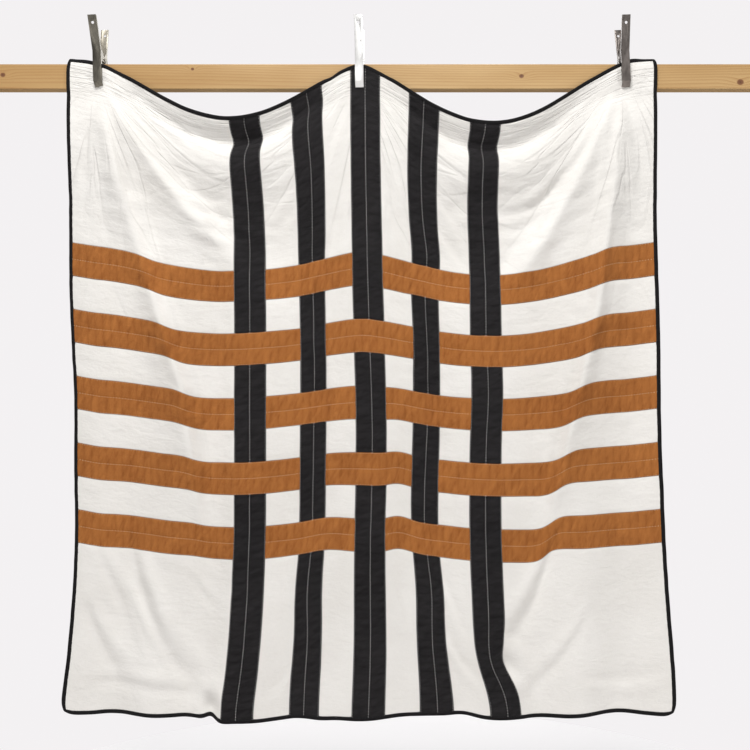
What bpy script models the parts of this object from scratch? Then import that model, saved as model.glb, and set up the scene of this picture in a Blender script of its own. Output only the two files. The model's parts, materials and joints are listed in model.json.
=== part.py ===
"""A patchwork quilt hung from a rail. Three steel spring clamps grip its top edge to a plain softwood board.

Metres, +Z up. +X runs along the rail and the quilt hangs on its -Y side. The origin is the middle of the
rail's underside. The quilt is drawn flat first, u across and v down from its top edge, and every layer of it
is then laid on one hanging surface, so that the layers never meet."""

import math

import bmesh
import bpy
from mathutils import Matrix, Vector

GAP = 0.0003  # left between any two pieces that touch

# Rail: a dressed board on edge.
RAIL_LENGTH = 3.05
RAIL_THICK = 0.038
RAIL_TALL = 0.089
RAIL_EASE = 0.002

# Quilt, as cut and sewn flat.
QUILT_SIDE = 2.34
STRIPE = 0.12  # each strip, and each gap between two strips
STRIPS = 5  # each way
TOP_MARGIN = 0.66  # above the highest tan strip
BINDING_WIDE = 0.012
CLOTH = 0.0005
WADDING = 0.003

# Quilt, as it hangs.
SPREAD_TOP = 0.895  # hung width over flat width, at the rail
SPREAD_HEM = 0.945  # and at the hem
EDGE_ABOVE = (0.005, -0.003, 0.005)  # top edge over the rail's top at each clamp
CORNER_RISE = 0.010
SAGS = (0.200, 0.216)  # of the top edge between the clamps
SAG_FADES_OVER = 0.55
FOLD_DEPTH = 0.020  # at the rail, and as much again at the hem
FOLD_WIDE = 0.36

# Spring clamps, as they grip.
CLAMP_X = (-0.951, -0.020, 0.932)  # of the jaws
CLAMP_LEAN = (2.8, 0.6, 1.9)  # degrees towards -X
PIVOT_ABOVE_RAIL = 0.020
JAW_DROP = 0.106
HANDLE_RISE = 0.136
HANDLE_OUT = 0.066
PLATE = 0.0016
FLANGE_PROUD = 0.0003  # the step where a flange meets the strip's face, as at a pressed corner
FRONT_ARM_WIDE = 0.030
REAR_ARM_WIDE = 0.026
EAR_RADIUS = 0.009
PIN_RADIUS = 0.003
PIN_CLEARANCE = 0.0004
HANG_HOLE_RADIUS = 0.005
HANG_HOLE_FROM_END = 0.026
WIRE_RADIUS = 0.0013
COIL_RADIUS = 0.0065
COIL_WIDE = 0.0150
COIL_WHOLE_TURNS = 4

# Worked out from the sizes above.
QUILT_HALF = QUILT_SIDE / 2
STRIPES_WIDE = (2 * STRIPS - 1) * STRIPE
QUILT_BACK_Y = -RAIL_THICK / 2 - GAP
BACKING_AT = 0.0
WADDING_AT = BACKING_AT + CLOTH + GAP
TOP_AT = WADDING_AT + WADDING + GAP
STRIP_AT = TOP_AT + CLOTH + GAP
STRIP_STEP = CLOTH + GAP  # from a strip that lies under to one that lies over
QUILT_THICK = STRIP_AT + CLOTH
GRIP_FRONT_Y = QUILT_BACK_Y - QUILT_THICK - GAP
GRIP_REAR_Y = RAIL_THICK / 2 + GAP
PIVOT_Y = (GRIP_FRONT_Y + GRIP_REAR_Y) / 2
TIP_OUT = (GRIP_REAR_Y - GRIP_FRONT_Y) / 2
PIVOT_Z = RAIL_TALL + PIVOT_ABOVE_RAIL
CLAMP_U = tuple(x / SPREAD_TOP for x in CLAMP_X)


def clear_scene():
    for thing in list(bpy.data.objects):
        bpy.data.objects.remove(thing)


def collection(name):
    made = bpy.data.collections.new(name)
    bpy.context.scene.collection.children.link(made)
    return made


def material(name, colour, roughness, metallic=0.0):
    made = bpy.data.materials.new(name)
    made.use_nodes = True
    shader = made.node_tree.nodes["Principled BSDF"]
    shader.inputs["Base Color"].default_value = (*colour, 1.0)
    shader.inputs["Roughness"].default_value = roughness
    shader.inputs["Metallic"].default_value = metallic
    return made


def add(name, mesh, surface, where, parent=None):
    """An object in its collection. One with no surface is a cutter or a guide, and is hidden from renders."""
    made = bpy.data.objects.new(name, mesh)
    where.objects.link(made)
    made.parent = parent
    if surface:
        made.data.materials.clear()
        made.data.materials.append(surface)
    else:
        made.hide_render = True
        made.display_type = "WIRE"
    return made


def evaluated_mesh(source, name):
    """The source's mesh with its modifiers in it. The source is removed."""
    mesh = bpy.data.meshes.new_from_object(source.evaluated_get(bpy.context.evaluated_depsgraph_get()))
    mesh.name = name
    bpy.data.objects.remove(source)
    weld = bmesh.new()
    weld.from_mesh(mesh)
    bmesh.ops.remove_doubles(weld, verts=weld.verts, dist=1e-6)
    bmesh.ops.recalc_face_normals(weld, faces=weld.faces)
    weld.to_mesh(mesh)
    weld.free()
    return mesh


def smoothstep(x):
    x = min(max(x, 0.0), 1.0)
    return x * x * (3 - 2 * x)


# ---------------------------------------------------------------- rail


def rail():
    mesh = bpy.data.meshes.new("rail")
    box = bmesh.new()
    bmesh.ops.create_cube(box, size=1.0)
    bmesh.ops.scale(box, verts=box.verts, vec=(RAIL_LENGTH, RAIL_THICK, RAIL_TALL))
    bmesh.ops.translate(box, verts=box.verts, vec=(0, 0, RAIL_TALL / 2))
    box.to_mesh(mesh)
    box.free()
    board = add("rail", mesh, PINE, PARTS)
    eased = board.modifiers.new("eased_edges", "BEVEL")
    eased.width = RAIL_EASE
    eased.segments = 2
    eased.limit_method = "ANGLE"


# ---------------------------------------------------------------- quilt


def between(low, high, cells):
    return [low + (high - low) * i / cells for i in range(cells + 1)]


def stripe_lines(start):
    return [start + STRIPE * i for i in range(2 * STRIPS)]


def lattice_lines():
    """The flat lines, across and down, that every layer is cut along."""
    inner = QUILT_HALF - BINDING_WIDE
    edge = STRIPES_WIDE / 2
    side = [edge + 0.16, edge + 0.32, edge + 0.47, edge + 0.56, inner]
    across = [-u for u in reversed(side)] + stripe_lines(-edge) + side
    above = [BINDING_WIDE, 0.10, 0.20, 0.35, 0.50]
    foot = TOP_MARGIN + STRIPES_WIDE
    below = between(foot, QUILT_SIDE - BINDING_WIDE, 4)[1:]
    return across, above + stripe_lines(TOP_MARGIN) + below


def clamp_distance(u):
    return min(abs(u - grip) for grip in CLAMP_U)


def top_edge_height(u):
    """Height of the top edge over the rail's top, with its sag between two clamps and its lifted corners."""
    left, middle, right = CLAMP_U
    if u < left or u > right:
        side, edge = (left, -QUILT_HALF) if u < left else (right, QUILT_HALF)
        return EDGE_ABOVE[0] + CORNER_RISE * (u - side) / (edge - side), 0.0
    span = 0 if u < middle else 1
    start, end = CLAMP_U[span], CLAMP_U[span + 1]
    share = (u - start) / (end - start)
    level = EDGE_ABOVE[span] + (EDGE_ABOVE[span + 1] - EDGE_ABOVE[span]) * share
    return level, 4 * SAGS[span] * share * (1 - share)


def hung(u, v, off_back):
    """The place of a flat point of the quilt, off_back in front of the quilt's rear face."""
    level, sag = top_edge_height(u)
    fade = 1 / (1 + (v / SAG_FADES_OVER) ** 1.3)
    spread = SPREAD_TOP + (SPREAD_HEM - SPREAD_TOP) * smoothstep((v / QUILT_SIDE - 0.6) / 0.4)
    held = smoothstep((clamp_distance(u) - 0.07) / 0.2)
    loose = held + (1 - held) * smoothstep((v - 0.15) / 0.5)
    fold = FOLD_DEPTH * (1 + v / QUILT_SIDE) * loose * (1 - math.cos(2 * math.pi * u / FOLD_WIDE)) / 2
    return Vector((u * spread, QUILT_BACK_Y - fold - off_back, RAIL_TALL + level - v - sag * fade))


def slab(name, corners, off_back, thick, surface):
    """A closed sheet over a lattice. corners[j][i] is (u, v, lift) at column i of row j."""
    rows, columns = len(corners) - 1, len(corners[0]) - 1
    sheet = bmesh.new()
    bmesh.ops.create_grid(sheet, x_segments=columns, y_segments=rows, size=0.5)
    for vert in sheet.verts:
        i = round((vert.co.x + 0.5) * columns)
        j = round((0.5 - vert.co.y) * rows)
        u, v, lift = corners[j][i]
        vert.co = hung(u, v, off_back + lift)
    bmesh.ops.triangulate(sheet, faces=sheet.faces, quad_method="FIXED")
    front = bmesh.ops.extrude_face_region(sheet, geom=sheet.faces[:])["geom"]
    moved = [item for item in front if isinstance(item, bmesh.types.BMVert)]
    bmesh.ops.translate(sheet, verts=moved, vec=(0, -thick, 0))
    bmesh.ops.recalc_face_normals(sheet, faces=sheet.faces)
    mesh = bpy.data.meshes.new(name)
    sheet.to_mesh(mesh)
    sheet.free()
    return add(name, mesh, surface, PARTS)


def cloth_layers(across, down):
    flat = [[(u, v, 0.0) for u in across] for v in down]
    slab("quilt_backing", flat, BACKING_AT, CLOTH, WHITE)
    slab("quilt_batting", flat, WADDING_AT, WADDING, BATTING)
    slab("quilt_top", flat, TOP_AT, CLOTH, WHITE)


def strips(across, down):
    """Black strips run down and tan strips across. Black lies over where its number plus tan's is even."""
    black_edges = stripe_lines(-STRIPES_WIDE / 2)
    tan_edges = stripe_lines(TOP_MARGIN)

    def crossing(value, edges):
        """Which strip this line belongs to, counted from 0, or None outside them all."""
        for i, edge in enumerate(edges):
            if abs(value - edge) < STRIPE / 100:
                return i // 2
        return None

    for n in range(STRIPS):
        sides = black_edges[2 * n : 2 * n + 2]
        rows = []
        for v in down:
            met = crossing(v, tan_edges)
            over = met is not None and (met + n) % 2 == 0
            rows.append([(u, v, STRIP_STEP * over) for u in sides])
        slab(f"black_strip_{n + 1}", rows, STRIP_AT, CLOTH, BLACK)
    for n in range(STRIPS):
        rows = []
        for v in tan_edges[2 * n : 2 * n + 2]:
            row = []
            for u in across:
                met = crossing(u, black_edges)
                over = met is not None and (met + n) % 2 == 1
                row.append((u, v, STRIP_STEP * over))
            rows.append(row)
        slab(f"tan_strip_{n + 1}", rows, STRIP_AT, CLOTH, TAN)


def bindings(across, down):
    """Four folded strips round the edge, mitred at the corners and as thick as the quilt."""
    width = BINDING_WIDE - GAP
    half = QUILT_HALF
    inner = half - width
    for name, outer_v, inner_v in (("top", 0.0, width), ("bottom", QUILT_SIDE, QUILT_SIDE - width)):
        outer_row = [(u, outer_v, 0.0) for u in [-half, *across, half]]
        inner_row = [(min(max(u, -inner), inner), inner_v, 0.0) for u in [-inner, *across, inner]]
        rows = [outer_row, inner_row] if name == "top" else [inner_row, outer_row]
        slab(f"binding_{name}", rows, BACKING_AT, QUILT_THICK, BINDING)
    mitre = 2 * GAP
    for name, sign in (("left", -1), ("right", 1)):
        outer_v = [mitre, *down, QUILT_SIDE - mitre]
        inner_v = [width + mitre, *down, QUILT_SIDE - width - mitre]
        inner_v = [min(max(v, inner_v[0]), inner_v[-1]) for v in inner_v]
        rows = []
        for out_v, in_v in zip(outer_v, inner_v):
            pair = [(sign * half, out_v, 0.0), (sign * inner, in_v, 0.0)]
            rows.append(pair if sign < 0 else pair[::-1])
        slab(f"binding_{name}", rows, BACKING_AT, QUILT_THICK, BINDING)


# ---------------------------------------------------------------- clamps


def offset_line(line, distance):
    """The line moved sideways by this distance, towards the clamp's middle plane, with its corners kept sharp."""
    moved = []
    for i, point in enumerate(line):
        sides = []
        for a, b in ((i - 1, i), (i, i + 1)):
            if a >= 0 and b < len(line):
                run = (line[b] - line[a]).normalized()
                sides.append(Vector((run.y, -run.x)))
        middle = (sides[0] + sides[-1]).normalized()
        moved.append(point + middle * distance / middle.dot(sides[0]))
    return moved


def plate(name, outline, wide, middle_x):
    """An outline of (out, up) points as a plate that lies across X."""
    curve = bpy.data.curves.new(name, "CURVE")
    curve.dimensions = "2D"
    curve.fill_mode = "BOTH"
    curve.extrude = wide / 2
    spline = curve.splines.new("POLY")
    spline.points.add(len(outline) - 1)
    for point, (out, up) in zip(spline.points, outline):
        point.co = (out, up, 0.0, 1.0)
    spline.use_cyclic_u = True
    mesh = evaluated_mesh(add(name, curve, None, CUTTERS), name)
    upright = Matrix(((0, 0, 1, middle_x), (1, 0, 0, 0), (0, 1, 0, 0), (0, 0, 0, 1)))
    mesh.transform(upright)
    return add(name, mesh, None, CUTTERS)


def rod(name, radius, length, place, direction, sides=16):
    mesh = bpy.data.meshes.new(name)
    shape = bmesh.new()
    bmesh.ops.create_cone(
        shape, cap_ends=True, segments=sides, radius1=radius, radius2=radius, depth=length
    )
    turn = Vector((0, 0, 1)).rotation_difference(direction).to_matrix().to_4x4()
    bmesh.ops.transform(shape, verts=shape.verts, matrix=Matrix.Translation(place) @ turn)
    shape.to_mesh(mesh)
    shape.free()
    return add(name, mesh, None, CUTTERS)


def combine(target, operation, other):
    step = target.modifiers.new(other.name, "BOOLEAN")
    step.operation = operation
    step.object = other


def arm_mesh(name, wide):
    """One pressed arm: a bent strip with a flange down each side, and an ear on each flange for the pin.

    It is drawn on the +Y side of the pin, as out from the clamp's middle plane and up from the pin."""
    handle_end = Vector((HANDLE_OUT, HANDLE_RISE))
    bend = Vector((0.034, 0.022))
    belly = Vector((0.0395, -0.055))
    knee = Vector((0.0405, -0.088))
    tip = Vector((TIP_OUT + 0.0012, -JAW_DROP))
    face = [handle_end, bend, belly, knee, tip]
    strip = plate(f"{name}_strip", face + offset_line(face, PLATE)[::-1], wide - 2 * FLANGE_PROUD, 0.0)

    ear = [
        Vector((math.cos(math.radians(angle)), math.sin(math.radians(angle)))) * EAR_RADIUS
        for angle in range(285, 74, -30)
    ]
    throat = [Vector((0.0260, -0.034)), Vector((0.0265, -0.018)), Vector((0.0235, -0.0115))]
    inner_edge = [Vector((0.0335, -0.089)), Vector((0.029, -0.066)), *throat]
    handle_edge = [Vector((0.029, 0.036)), Vector((0.0575, 0.1335))]
    flange = offset_line(face, FLANGE_PROUD)[:-1] + inner_edge + ear + handle_edge
    for side in (-1, 1):
        wall = plate(f"{name}_flange_{side}", flange, PLATE, side * (wide - PLATE) / 2)
        combine(strip, "UNION", wall)

    pin_hole = rod(f"{name}_pin_hole", PIN_RADIUS + PIN_CLEARANCE, 2 * wide, Vector(), Vector((1, 0, 0)))
    combine(strip, "DIFFERENCE", pin_hole)
    run = (bend - handle_end).normalized()
    centre = handle_end + run * HANG_HOLE_FROM_END
    across = Vector((0, run.y, -run.x))
    hang_hole = rod(f"{name}_hang_hole", HANG_HOLE_RADIUS, 0.02, Vector((0, *centre)), across, sides=14)
    combine(strip, "DIFFERENCE", hang_hole)
    return evaluated_mesh(strip, name)


def rivet_mesh():
    """A shank with a flat head at each end, turned about the pin's axis."""
    shank = FRONT_ARM_WIDE / 2 + PIN_CLEARANCE
    head = 0.002
    profile = [
        (0.0, shank + head),
        (0.0045, shank + head),
        (0.0055, shank + head / 2),
        (0.0055, shank),
        (PIN_RADIUS, shank),
    ]
    profile += [(radius, -height) for radius, height in reversed(profile)]
    line = bpy.data.meshes.new("rivet_profile")
    points = [(radius, 0.0, height) for radius, height in profile]
    line.from_pydata(points, [(i, i + 1) for i in range(len(points) - 1)], [])
    turned = add("rivet_profile", line, None, CUTTERS)
    screw = turned.modifiers.new("turn", "SCREW")
    screw.steps = 14
    screw.render_steps = 14
    screw.use_merge_vertices = True
    screw.merge_threshold = 0.0001
    mesh = evaluated_mesh(turned, "rivet")
    mesh.transform(Matrix.Rotation(math.radians(90), 4, "Y"))
    return mesh


def spring_curve():
    """A torsion spring on the pin: a leg against each handle's inside, and the coil between them."""
    leg_up = 0.055
    run = Vector((HANDLE_OUT, HANDLE_RISE)) - Vector((0.034, 0.022))
    inside = 0.034 + run.x * (leg_up - 0.022) / run.y - PLATE - WIRE_RADIUS - 3 * GAP
    end = Vector((inside, leg_up))
    reach = math.acos(COIL_RADIUS / end.length)
    rear = math.atan2(end.y, end.x) + reach
    front = math.pi - rear
    turn = front - rear + 2 * math.pi * (COIL_WHOLE_TURNS + 1)
    steps = round(turn / math.radians(45))
    points = [Vector((-COIL_WIDE / 2, end.x, end.y))]
    for i in range(steps + 1):
        angle = rear + turn * i / steps
        along = COIL_WIDE * (i / steps - 0.5)
        points.append(Vector((along, COIL_RADIUS * math.cos(angle), COIL_RADIUS * math.sin(angle))))
    points.append(Vector((COIL_WIDE / 2, -end.x, end.y)))
    curve = bpy.data.curves.new("spring", "CURVE")
    curve.dimensions = "3D"
    curve.bevel_depth = WIRE_RADIUS
    curve.bevel_resolution = 1
    curve.use_fill_caps = True
    spline = curve.splines.new("POLY")
    spline.points.add(len(points) - 1)
    for point, place in zip(spline.points, points):
        point.co = (*place, 1.0)
    return curve


def clamps():
    front_arm = arm_mesh("front_arm", FRONT_ARM_WIDE)
    rear_arm = arm_mesh("rear_arm", REAR_ARM_WIDE)
    rivet = rivet_mesh()
    spring = spring_curve()
    for name, jaw_x, lean in zip(("left", "middle", "right"), CLAMP_X, CLAMP_LEAN):
        tilt = math.radians(-lean)
        pivot = bpy.data.objects.new(f"clamp_{name}_pivot", None)
        PARTS.objects.link(pivot)
        pivot.location = (jaw_x + JAW_DROP * math.sin(tilt), PIVOT_Y, PIVOT_Z)
        pivot.rotation_euler.y = tilt
        front = add(f"clamp_{name}_front_arm", front_arm, STEEL, PARTS, pivot)
        front.rotation_euler.z = math.pi
        add(f"clamp_{name}_rear_arm", rear_arm, STEEL, PARTS, pivot)
        add(f"clamp_{name}_rivet", rivet, STEEL, PARTS, pivot)
        add(f"clamp_{name}_spring", spring, SPRING_STEEL, PARTS, pivot)


clear_scene()
PARTS = collection("quilt_on_rail")
CUTTERS = collection("cutters")
PINE = material("pine", (0.66, 0.46, 0.24), 0.55)
WHITE = material("white_cotton", (0.86, 0.84, 0.81), 0.9)
BATTING = material("cotton_batting", (0.80, 0.77, 0.70), 0.95)
BLACK = material("black_cotton", (0.030, 0.028, 0.028), 0.85)
TAN = material("tan_cotton", (0.42, 0.20, 0.075), 0.85)
BINDING = material("black_binding", (0.015, 0.014, 0.014), 0.85)
STEEL = material("plated_steel", (0.55, 0.53, 0.49), 0.35, 1.0)
SPRING_STEEL = material("spring_steel", (0.40, 0.39, 0.37), 0.4, 1.0)

rail()
lines_across, lines_down = lattice_lines()
cloth_layers(lines_across, lines_down)
strips(lines_across, lines_down)
bindings(lines_across, lines_down)
clamps()
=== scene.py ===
"""The looks of a patchwork quilt that three spring clamps hold to a softwood board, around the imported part.

Metres, +Z up, in the part's own frame: X runs along the board and the quilt hangs on its -Y side."""

import json
import math

import bmesh
import bpy
import numpy as np
from mathutils import Matrix, Vector


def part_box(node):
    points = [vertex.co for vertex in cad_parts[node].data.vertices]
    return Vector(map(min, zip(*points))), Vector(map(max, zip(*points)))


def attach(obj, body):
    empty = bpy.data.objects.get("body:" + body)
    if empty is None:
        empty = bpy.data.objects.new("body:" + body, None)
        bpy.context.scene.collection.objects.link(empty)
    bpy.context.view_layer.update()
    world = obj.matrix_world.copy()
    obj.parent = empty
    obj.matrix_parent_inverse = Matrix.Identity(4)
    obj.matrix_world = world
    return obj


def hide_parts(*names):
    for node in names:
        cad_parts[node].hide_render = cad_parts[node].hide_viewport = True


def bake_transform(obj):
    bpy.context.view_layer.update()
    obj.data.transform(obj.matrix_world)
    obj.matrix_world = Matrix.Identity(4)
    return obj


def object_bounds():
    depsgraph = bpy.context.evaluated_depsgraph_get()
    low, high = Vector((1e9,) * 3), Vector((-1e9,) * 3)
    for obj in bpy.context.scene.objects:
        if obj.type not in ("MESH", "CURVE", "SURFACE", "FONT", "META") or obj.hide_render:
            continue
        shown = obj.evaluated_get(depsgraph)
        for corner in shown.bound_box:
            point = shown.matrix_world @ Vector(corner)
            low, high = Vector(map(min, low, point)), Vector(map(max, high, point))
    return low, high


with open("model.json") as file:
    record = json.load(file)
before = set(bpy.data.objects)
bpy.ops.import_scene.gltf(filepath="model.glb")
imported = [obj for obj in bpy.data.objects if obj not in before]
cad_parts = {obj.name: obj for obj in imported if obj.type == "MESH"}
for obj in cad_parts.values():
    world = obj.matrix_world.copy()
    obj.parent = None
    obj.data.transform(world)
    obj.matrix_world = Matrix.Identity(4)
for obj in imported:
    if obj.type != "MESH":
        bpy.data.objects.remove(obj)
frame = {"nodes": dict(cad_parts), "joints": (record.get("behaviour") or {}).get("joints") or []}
cad_box = [list(corner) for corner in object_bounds()]


# ---------------------------------------------------------------- studio
# A level camera a little right of the middle, three metres before the quilt, and a plain pale room with one
# broad soft light from above and a weaker one from each side. Camera first, then the light, then the floor.

scene = bpy.context.scene
scene.view_settings.view_transform = "Standard"


def placed(name, data):
    """A new object in the scene, with this mesh, curve, lamp or camera."""
    thing = bpy.data.objects.new(name, data)
    scene.collection.objects.link(thing)
    return thing


camera = bpy.data.cameras.new("camera")
camera.lens = 40.3
camera.sensor_width = 36
camera.shift_x = -0.06
camera.shift_y = 0.0187
standing = placed("camera", camera)
standing.location = (0.196, -3.03, -1.0765)
standing.rotation_euler = (math.radians(90), 0, 0)
scene.camera = standing


def soft_light(name, place, target, wide, tall, watts):
    lamp = bpy.data.lights.new(name, "AREA")
    lamp.shape = "RECTANGLE"
    lamp.size, lamp.size_y = wide, tall
    lamp.energy = watts
    hung_lamp = placed(name, lamp)
    hung_lamp.location = place
    hung_lamp.rotation_euler = (Vector(target) - Vector(place)).to_track_quat("-Z", "Y").to_euler()


soft_light("light_above", (-0.5, -2.9, 4.1), (0.1, 0, -1.2), 2.2, 0.9, 318)
soft_light("light_left", (-4.6, -3.2, -0.9), (0, 0, -1.5), 1.0, 2.2, 40)
soft_light("light_right", (4.6, -3.2, -0.9), (0, 0, -1.5), 1.0, 2.2, 58)
soft_light("light_behind_camera", (0.12, -4.6, 0.25), (-0.02, 0, 0.1), 0.5, 1.1, 22)
soft_light("light_rear", (0.6, 3.2, 1.4), (0, 0, -0.9), 2.6, 1.6, 45)

world = bpy.data.worlds.new("room")
scene.world = world
world.use_nodes = True
room = world.node_tree
walls = room.nodes["Background"]
walls.inputs["Color"].default_value = (0.93, 0.93, 0.95, 1)
walls.inputs["Strength"].default_value = 0.265
seen_walls = room.nodes.new("ShaderNodeBackground")
seen_walls.inputs["Color"].default_value = (0.90, 0.88, 0.89, 1)
which = room.nodes.new("ShaderNodeMixShader")
rays = room.nodes.new("ShaderNodeLightPath")
room.links.new(rays.outputs["Is Camera Ray"], which.inputs[0])
room.links.new(walls.outputs[0], which.inputs[1])
room.links.new(seen_walls.outputs[0], which.inputs[2])
room.links.new(which.outputs[0], room.nodes["World Output"].inputs["Surface"])


class Value:
    """One output of a material's nodes. Arithmetic on it adds the Math nodes that do it."""

    def __init__(self, tree, socket):
        self.tree = tree
        self.socket = socket

    def math(self, operation, *terms):
        node = self.tree.nodes.new("ShaderNodeMath")
        node.operation = operation
        for socket, term in zip(node.inputs, terms):
            if isinstance(term, Value):
                self.tree.links.new(term.socket, socket)
            else:
                socket.default_value = term
        return Value(self.tree, node.outputs[0])

    def __add__(self, other):
        return self.math("ADD", self, other)

    def __sub__(self, other):
        return self.math("SUBTRACT", self, other)

    def __rsub__(self, other):
        return self.math("SUBTRACT", other, self)

    def __mul__(self, other):
        return self.math("MULTIPLY", self, other)

    def __truediv__(self, other):
        return self.math("DIVIDE", self, other)

    def __pow__(self, other):
        return self.math("POWER", self, other)

    def __mod__(self, other):
        return self.math("FLOORED_MODULO", self, other)

    def __abs__(self):
        return self.math("ABSOLUTE", self)

    def __lt__(self, other):
        return self.math("LESS_THAN", self, other)

    def __gt__(self, other):
        return self.math("GREATER_THAN", self, other)

    __radd__ = __add__
    __rmul__ = __mul__

    def sine(self):
        return self.math("SINE", self)

    def clamped(self):
        return self.math("MINIMUM", self.math("MAXIMUM", self, 0.0), 1.0)

    def ramp(self, low, high):
        """0 at low and 1 at high, and straight between them."""
        return ((self - low) / (high - low)).clamped()


class Finish:
    """A material under construction: its shader, and the nodes that feed it."""

    def __init__(self, name, roughness, **fixed):
        self.material = bpy.data.materials.new(name)
        self.material.use_nodes = True
        self.tree = self.material.node_tree
        self.shader = self.tree.nodes["Principled BSDF"]
        self.shader.inputs["Roughness"].default_value = roughness
        for socket, value in fixed.items():
            self.shader.inputs[socket.replace("_", " ")].default_value = value

    def add(self, kind, settings=None, output=0, **sockets):
        """A node of this type. The settings come first, then the values or links of its sockets."""
        node = self.tree.nodes.new(kind)
        for name, value in (settings or {}).items():
            setattr(node, name, value)
        by_name = {}
        for socket in node.inputs:
            by_name.setdefault(socket.name, socket)
            by_name[socket.identifier] = socket
        for name, value in sockets.items():
            if isinstance(value, Value):
                self.tree.links.new(value.socket, by_name[name])
            else:
                by_name[name].default_value = value
        return Value(self.tree, node.outputs[output])

    def place(self, scale=(1, 1, 1), turn=(0, 0, 0)):
        """Where a point is on the object at rest, in metres times this scale."""
        where = self.tree.nodes.new("ShaderNodeTexCoord").outputs["Object"]
        return self.add("ShaderNodeMapping", Vector=Value(self.tree, where), Scale=scale, Rotation=turn)

    def axes(self, vector):
        parts = self.add("ShaderNodeSeparateXYZ", Vector=vector).socket.node
        return [Value(self.tree, parts.outputs[i]) for i in range(3)]

    def vector(self, x, y, z=0.0):
        return self.add("ShaderNodeCombineXYZ", X=x, Y=y, Z=z)

    def noise(self, vector, scale, detail=3.0, roughness=0.5, distortion=0.0):
        look = {"Detail": detail, "Roughness": roughness, "Distortion": distortion}
        return self.add("ShaderNodeTexNoise", Vector=vector, Scale=scale, **look)

    def mix(self, share, first, second):
        """A colour between two colours, which are nodes' outputs or (red, green, blue)."""
        first, second = [c if isinstance(c, Value) else (*c, 1) for c in (first, second)]
        return self.add(
            "ShaderNodeMix", {"data_type": "RGBA"}, 2, Factor_Float=share, A_Color=first, B_Color=second
        )

    def paint(self, colour=None, roughness=None, bumps=()):
        """Links the finish up. Each bump is (height in metres, strength)."""
        for name, value in (("Base Color", colour), ("Roughness", roughness)):
            if value is not None:
                self.tree.links.new(value.socket, self.shader.inputs[name])
        normal = None
        for height, strength in bumps:
            below = {"Normal": normal} if normal else {}
            normal = self.add("ShaderNodeBump", Height=height, Strength=strength, Distance=1.0, **below)
        if normal:
            self.tree.links.new(normal.socket, self.shader.inputs["Normal"])
        return self.material


FLOOR_DROP = 1.10  # under the hem
FLOOR_RADIUS = 3.0
plaster = Finish("pale_floor", 0.85, Emission_Color=(1, 0.98, 0.99, 1), Emission_Strength=0.435)
speckle = plaster.noise(plaster.place(), 5.0, 4.0)
plaster.paint(plaster.mix(speckle, (0.78, 0.77, 0.77), (0.82, 0.81, 0.81)), bumps=[(speckle * 0.002, 0.3)])
disc = bmesh.new()
bmesh.ops.create_circle(disc, cap_ends=True, segments=96, radius=FLOOR_RADIUS)
bmesh.ops.translate(disc, verts=disc.verts, vec=(0, 0, cad_box[0][2] - FLOOR_DROP))
floor_mesh = bpy.data.meshes.new("floor")
disc.to_mesh(floor_mesh)
disc.free()
floor_mesh.materials.append(plaster.material)
floor = placed("floor", floor_mesh)


# ---------------------------------------------------------------- rail
# One dressed pine board on edge, 38 x 89 mm. Slab sawn: long cathedral grain on its faces, rings on its ends,
# and a few small round knots that the grain flows around.

PITH_Y, PITH_Z = 0.055, -0.020  # the middle of the tree, outside the board
RING = 0.0065
KNOTS = (  # how far along the board, how high on it, and size
    (0.56, 0.046, 0.0085),
    (1.345, 0.024, 0.012),
    (-0.62, 0.071, 0.006),
    (-1.30, 0.050, 0.009),
    (0.04, 0.018, 0.005),
)

pine = Finish("pine_board", 0.5, IOR=1.45)
along, deep, tall = pine.axes(pine.place())
wander = pine.noise(pine.place((0.9, 5, 5)), 1.0, 2.0) - 0.5
knot_wood = None
bent = 0.0
for knot_x, knot_z, size in KNOTS:
    gap_x = along - knot_x
    gap_z = tall - knot_z
    off = ((gap_x * 0.42) ** 2.0 + gap_z ** 2.0) ** 0.5
    near = (1.0 - off / (size * 3.2)).clamped()
    bent = bent + near * near * 0.020
    core = (1.0 - ((gap_x * 0.85) ** 2.0 + gap_z ** 2.0) ** 0.5 / size).clamped()
    knot_wood = core if knot_wood is None else knot_wood.math("MAXIMUM", knot_wood, core)
rise = tall - PITH_Z + wander * 0.055 + bent + along.math("SINE", along * 1.9 + 0.6) * 0.012
depth = deep - PITH_Y + wander * 0.030
ring = ((rise ** 2.0 + depth ** 2.0) ** 0.5 + pine.noise(pine.place((1.2, 16, 16)), 1.0) * 0.006) / RING
phase = ring % 1.0
late = (phase ** 3.0) * (1.0 - phase.ramp(0.93, 1.0))
fibre = pine.noise(pine.place((9, 420, 420)), 1.0, 3.0, 0.6)
pore = pine.noise(pine.place((26, 900, 900)), 1.0, 2.0)
broad = pine.noise(pine.place((1.1, 7, 7)), 1.0, 3.0)
early_wood = pine.mix(broad.ramp(0.30, 0.70), (0.400, 0.228, 0.078), (0.640, 0.445, 0.215))
# The early wood is mixed darker toward both ends of the board, and the late rings darker there as well.
toward_ends = abs(along).ramp(0.45, 1.45)
early_wood = pine.mix(toward_ends * 0.55, early_wood, (0.400, 0.225, 0.078))
grain = pine.mix(late * (0.62 + toward_ends * 0.22), early_wood, (0.335, 0.160, 0.052))
grain = pine.mix(fibre.ramp(0.35, 0.75) * 0.30, grain, (0.42, 0.245, 0.098))
grain = pine.mix(pore.ramp(0.62, 0.80) * 0.22, grain, (0.30, 0.155, 0.055))
knotted = pine.mix(knot_wood.ramp(0.0, 0.30) * 0.88, grain, (0.150, 0.052, 0.022))
knotted = pine.mix(knot_wood.ramp(0.55, 0.95) * 0.6, knotted, (0.055, 0.020, 0.010))
pine.paint(
    knotted,
    fibre * 0.16 + late * 0.10 + 0.40,
    [(late * 0.00022 + fibre * 0.00010, 0.7), (knot_wood * -0.0006, 0.6)],
)
board = frame["nodes"]["rail"]
board.data.materials.clear()
board.data.materials.append(pine.material)


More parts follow.
